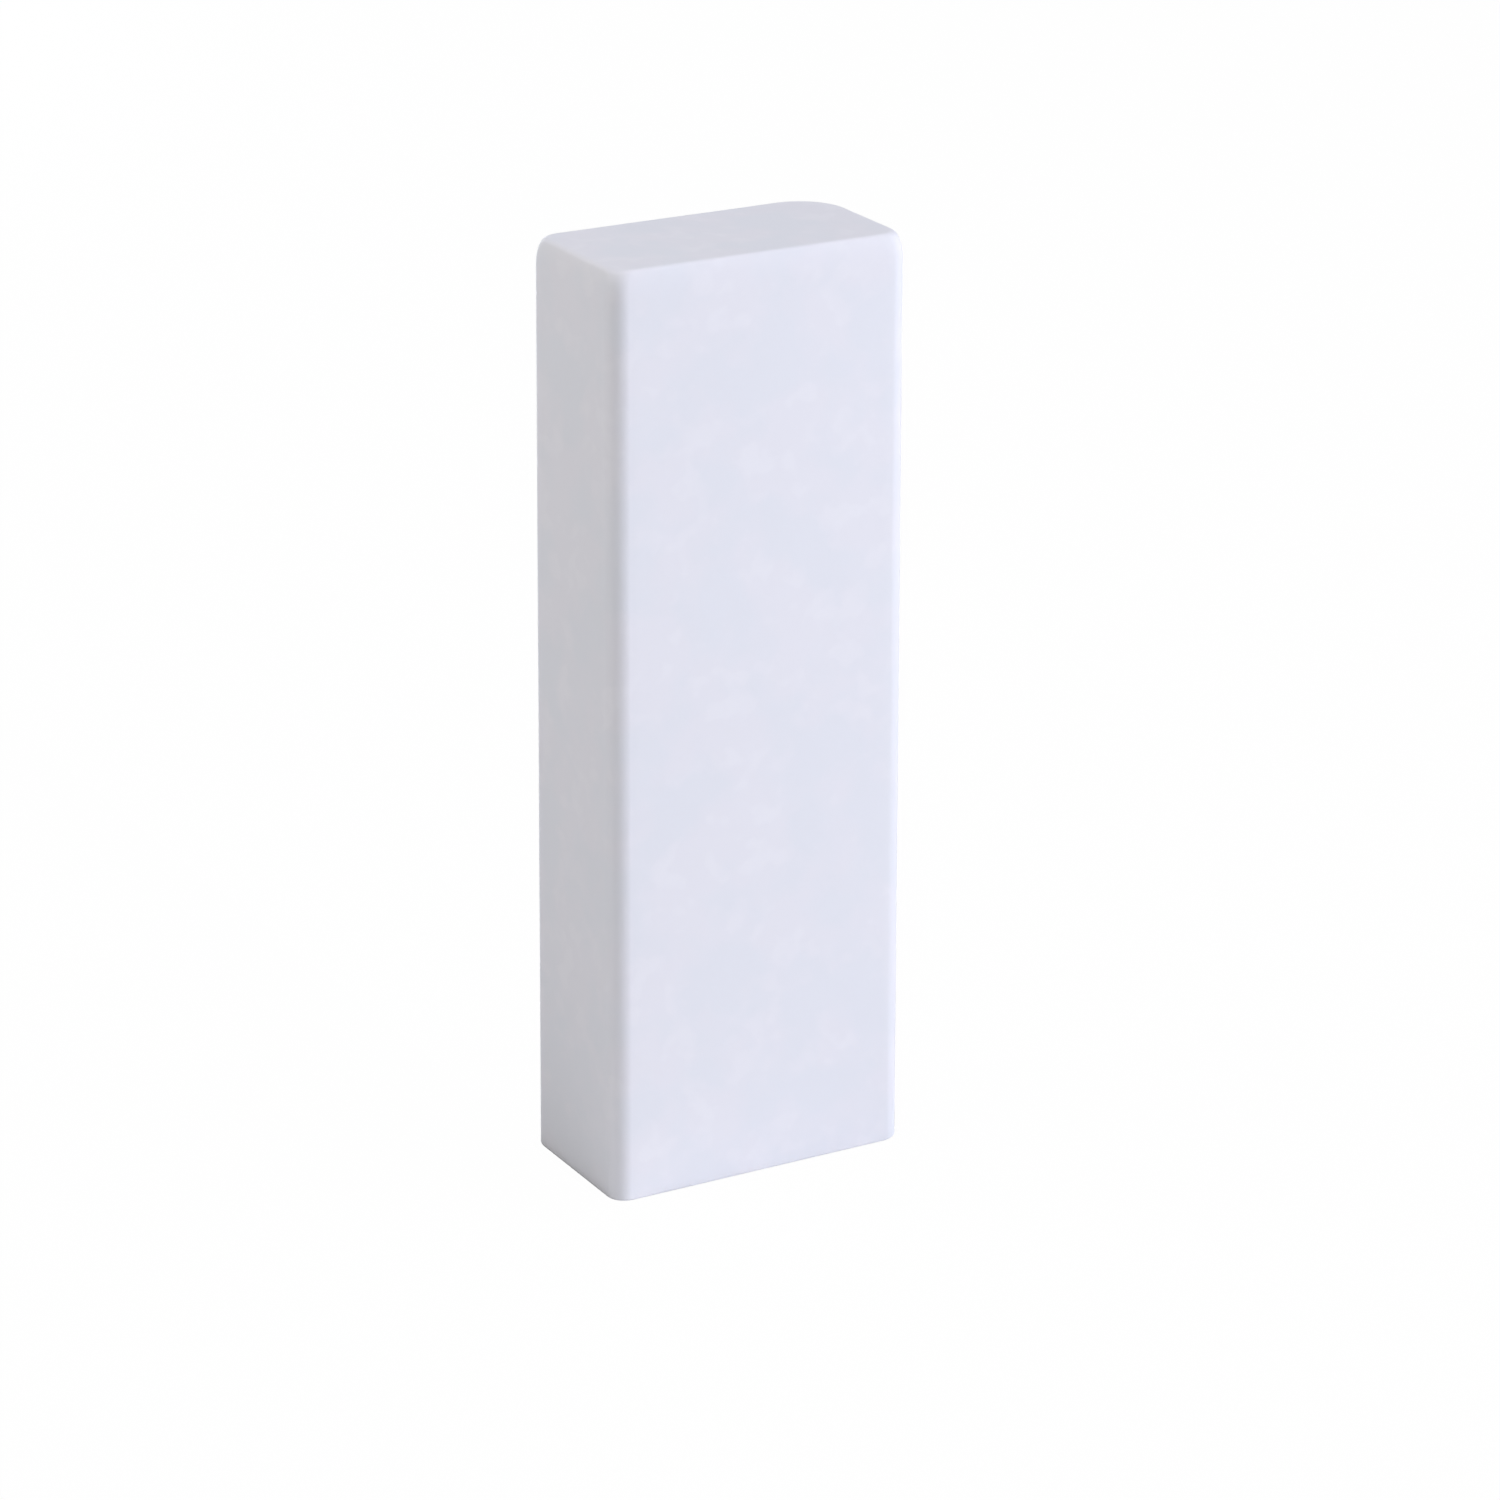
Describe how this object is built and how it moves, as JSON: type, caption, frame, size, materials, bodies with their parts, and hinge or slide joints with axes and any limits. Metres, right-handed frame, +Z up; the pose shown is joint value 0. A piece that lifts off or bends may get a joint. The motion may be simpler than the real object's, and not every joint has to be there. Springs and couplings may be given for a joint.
{
  "type": "shoe eraser",
  "caption": "Upright block of white eraser rubber with rounded edges and a flat foot; it rubs dirt and scuffs off suede and nubuck shoes.",
  "frame": {"origin": "middle of the flat foot that the block stands on", "axes": "+Z up along the block's length, +X across its width, -Y out of its broad front face"},
  "size_m": [0.025, 0.0132, 0.072],
  "materials": {
    "white_rubber": "smooth matt white rubber with a cool cast"
  },
  "bodies": {
    "root": {"eraser_block": "white_rubber"}
  },
  "joints": []
}
